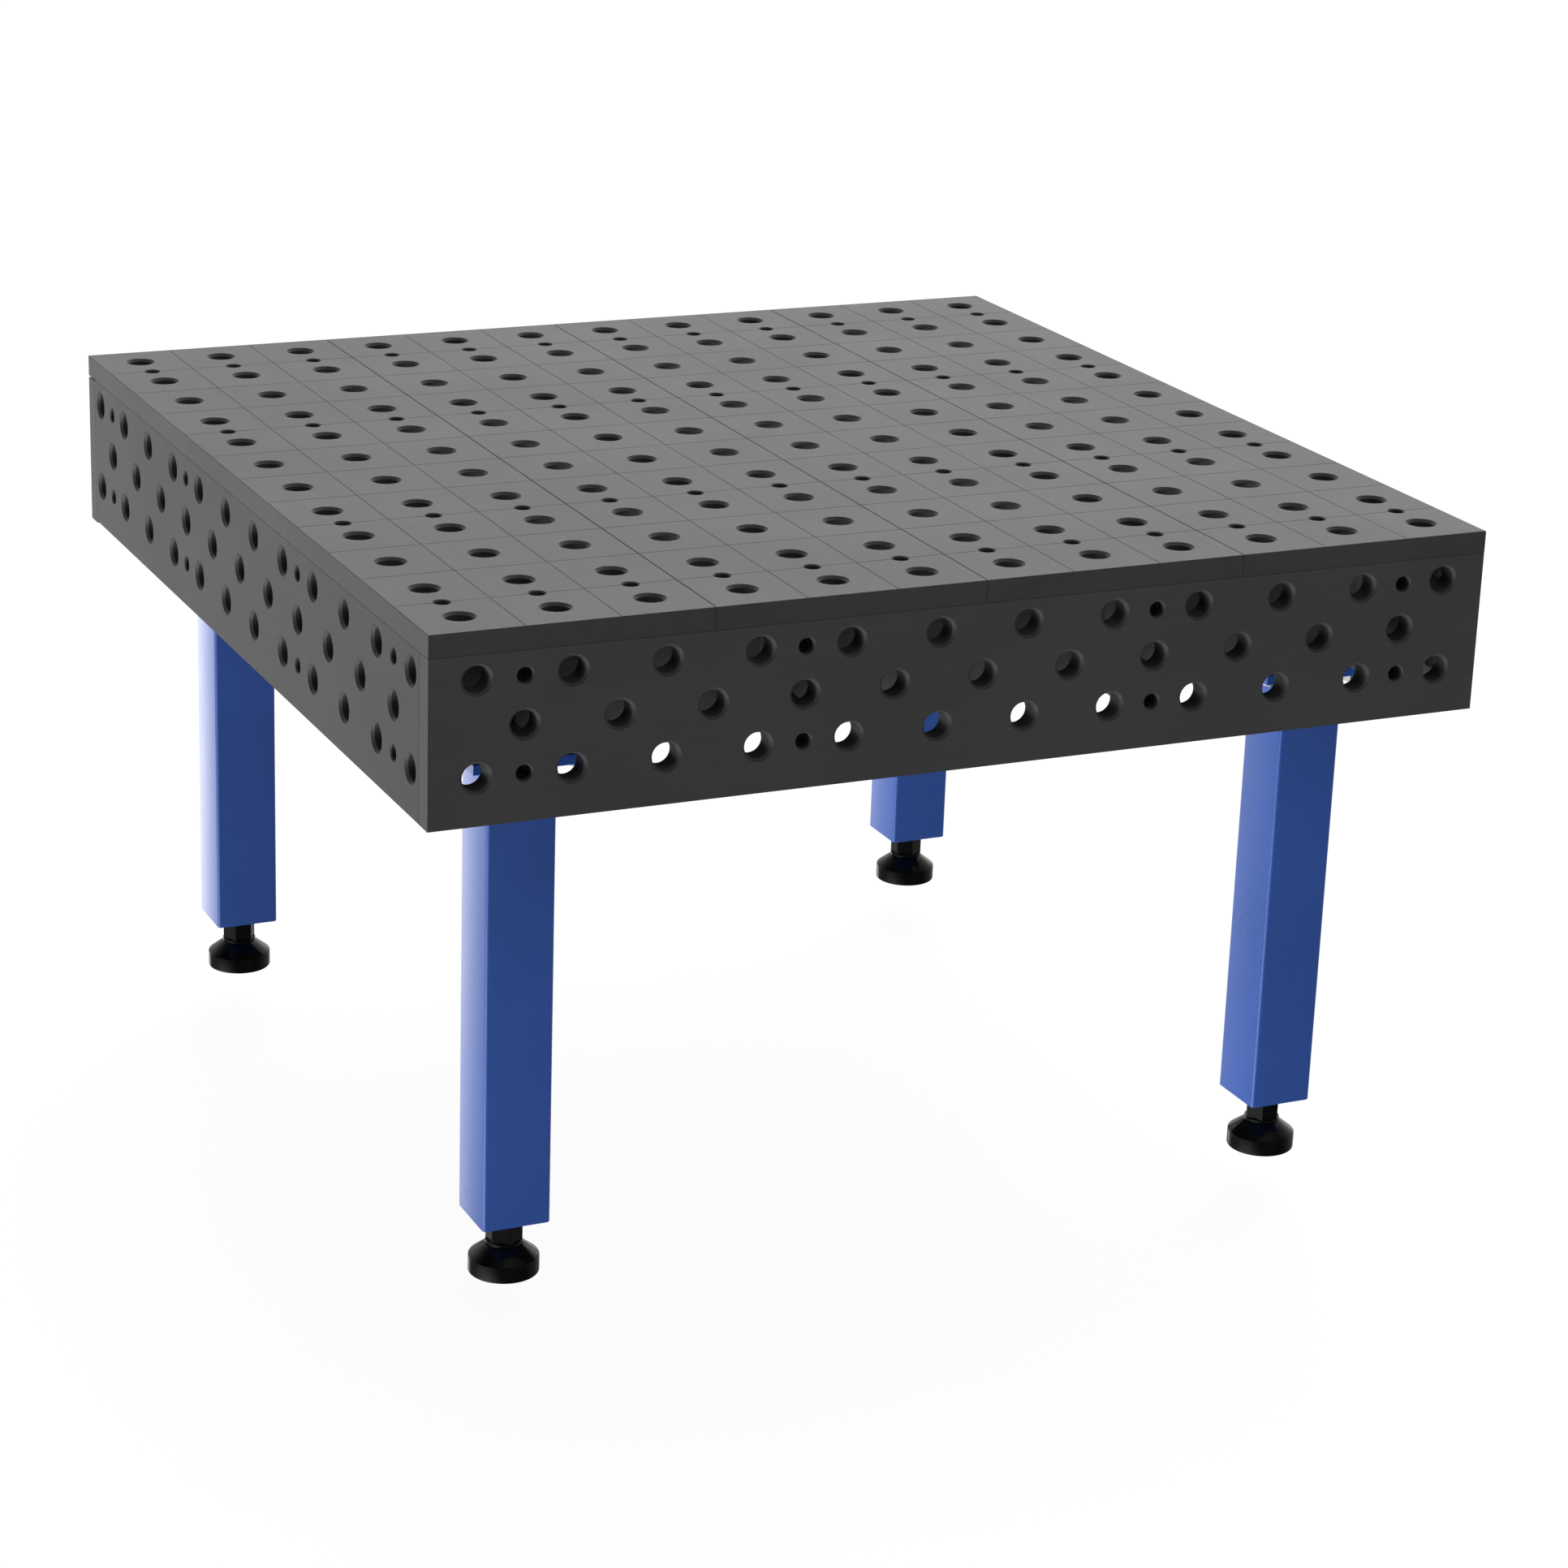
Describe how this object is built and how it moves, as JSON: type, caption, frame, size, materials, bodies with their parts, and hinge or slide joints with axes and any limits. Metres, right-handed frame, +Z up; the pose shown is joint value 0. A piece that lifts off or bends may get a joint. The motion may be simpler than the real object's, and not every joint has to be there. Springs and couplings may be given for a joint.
{
  "type": "welding table",
  "caption": "Square steel welding table with a bolted plate top, deep drilled sides on a square hole grid, crossed ribs, square tube legs and screw levelling feet.",
  "frame": {"origin": "on the floor under the middle of the table", "axes": "+X to the right along the front plate, +Y to the back, +Z up"},
  "size_m": [1.2, 1.2, 0.753],
  "materials": {
    "plate_steel": "ground and oiled steel plate, dark grey with fine grinding marks",
    "rib_steel": "rolled steel, lightly oiled",
    "blue_paint": "smooth blue powder coat, satin gloss",
    "zinc_steel": "zinc plated fastener",
    "black_steel": "blackened steel, semi gloss",
    "spring_steel": "oiled spring steel",
    "black_plastic": "glossy moulded polyamide"
  },
  "bodies": {
    "table": {"top_plate_1": "plate_steel", "top_plate_2": "plate_steel", "top_plate_3": "plate_steel", "top_plate_4": "plate_steel", "front_plate": "plate_steel", "back_plate": "plate_steel", "left_plate": "plate_steel", "right_plate": "plate_steel", "cross_rib_1": "rib_steel", "cross_rib_2": "rib_steel", "cross_rib_3": "rib_steel", "cross_rib_4": "rib_steel", "long_rib_1": "rib_steel", "long_rib_2": "rib_steel", "long_rib_3": "rib_steel", "long_rib_4": "rib_steel", "leg_tube_front_left": "blue_paint", "leg_flange_front_left": "blue_paint", "leg_end_plate_front_left": "blue_paint", "leg_bolt_front_left_1": "zinc_steel", "leg_bolt_front_left_2": "zinc_steel", "leg_bolt_front_left_3": "zinc_steel", "leg_tube_front_right": "blue_paint", "leg_flange_front_right": "blue_paint", "leg_end_plate_front_right": "blue_paint", "leg_bolt_front_right_1": "zinc_steel", "leg_bolt_front_right_2": "zinc_steel", "leg_bolt_front_right_3": "zinc_steel", "leg_tube_back_left": "blue_paint", "leg_flange_back_left": "blue_paint", "leg_end_plate_back_left": "blue_paint", "leg_bolt_back_left_1": "zinc_steel", "leg_bolt_back_left_2": "zinc_steel", "leg_bolt_back_left_3": "zinc_steel", "leg_tube_back_right": "blue_paint", "leg_flange_back_right": "blue_paint", "leg_end_plate_back_right": "blue_paint", "leg_bolt_back_right_1": "zinc_steel", "leg_bolt_back_right_2": "zinc_steel", "leg_bolt_back_right_3": "zinc_steel"},
    "pad_front_left": {"foot_pad_front_left": "black_plastic"},
    "spindle_front_left": {"foot_spindle_front_left": "black_steel", "foot_ring_front_left": "spring_steel"},
    "pad_front_right": {"foot_pad_front_right": "black_plastic"},
    "spindle_front_right": {"foot_spindle_front_right": "black_steel", "foot_ring_front_right": "spring_steel"},
    "pad_back_left": {"foot_pad_back_left": "black_plastic"},
    "spindle_back_left": {"foot_spindle_back_left": "black_steel", "foot_ring_back_left": "spring_steel"},
    "pad_back_right": {"foot_pad_back_right": "black_plastic"},
    "spindle_back_right": {"foot_spindle_back_right": "black_steel", "foot_ring_back_right": "spring_steel"}
  },
  "joints": [
    {"name": "foot_lift_front_left", "type": "slide", "parent": "table", "child": "pad_front_left", "axis": [0, 0, -1], "range_m": [0, 0.05]},
    {"name": "foot_turn_front_left", "type": "hinge", "parent": "pad_front_left", "child": "spindle_front_left", "pos_m": [-0.4625, -0.4625, 0.05], "axis": [0, 0, -1], "range_deg": [0, 6000]},
    {"name": "foot_lift_front_right", "type": "slide", "parent": "table", "child": "pad_front_right", "axis": [0, 0, -1], "range_m": [0, 0.05]},
    {"name": "foot_turn_front_right", "type": "hinge", "parent": "pad_front_right", "child": "spindle_front_right", "pos_m": [0.4625, -0.4625, 0.05], "axis": [0, 0, -1], "range_deg": [0, 6000]},
    {"name": "foot_lift_back_left", "type": "slide", "parent": "table", "child": "pad_back_left", "axis": [0, 0, -1], "range_m": [0, 0.05]},
    {"name": "foot_turn_back_left", "type": "hinge", "parent": "pad_back_left", "child": "spindle_back_left", "pos_m": [-0.4625, 0.4625, 0.05], "axis": [0, 0, -1], "range_deg": [0, 6000]},
    {"name": "foot_lift_back_right", "type": "slide", "parent": "table", "child": "pad_back_right", "axis": [0, 0, -1], "range_m": [0, 0.05]},
    {"name": "foot_turn_back_right", "type": "hinge", "parent": "pad_back_right", "child": "spindle_back_right", "pos_m": [0.4625, 0.4625, 0.05], "axis": [0, 0, -1], "range_deg": [0, 6000]}
  ],
  "couplings": [
    {"joint": "foot_lift_front_left", "follows": "foot_turn_front_left", "m_per_rad": 0.00047746},
    {"joint": "foot_lift_front_right", "follows": "foot_turn_front_right", "m_per_rad": 0.00047746},
    {"joint": "foot_lift_back_left", "follows": "foot_turn_back_left", "m_per_rad": 0.00047746},
    {"joint": "foot_lift_back_right", "follows": "foot_turn_back_right", "m_per_rad": 0.00047746}
  ]
}
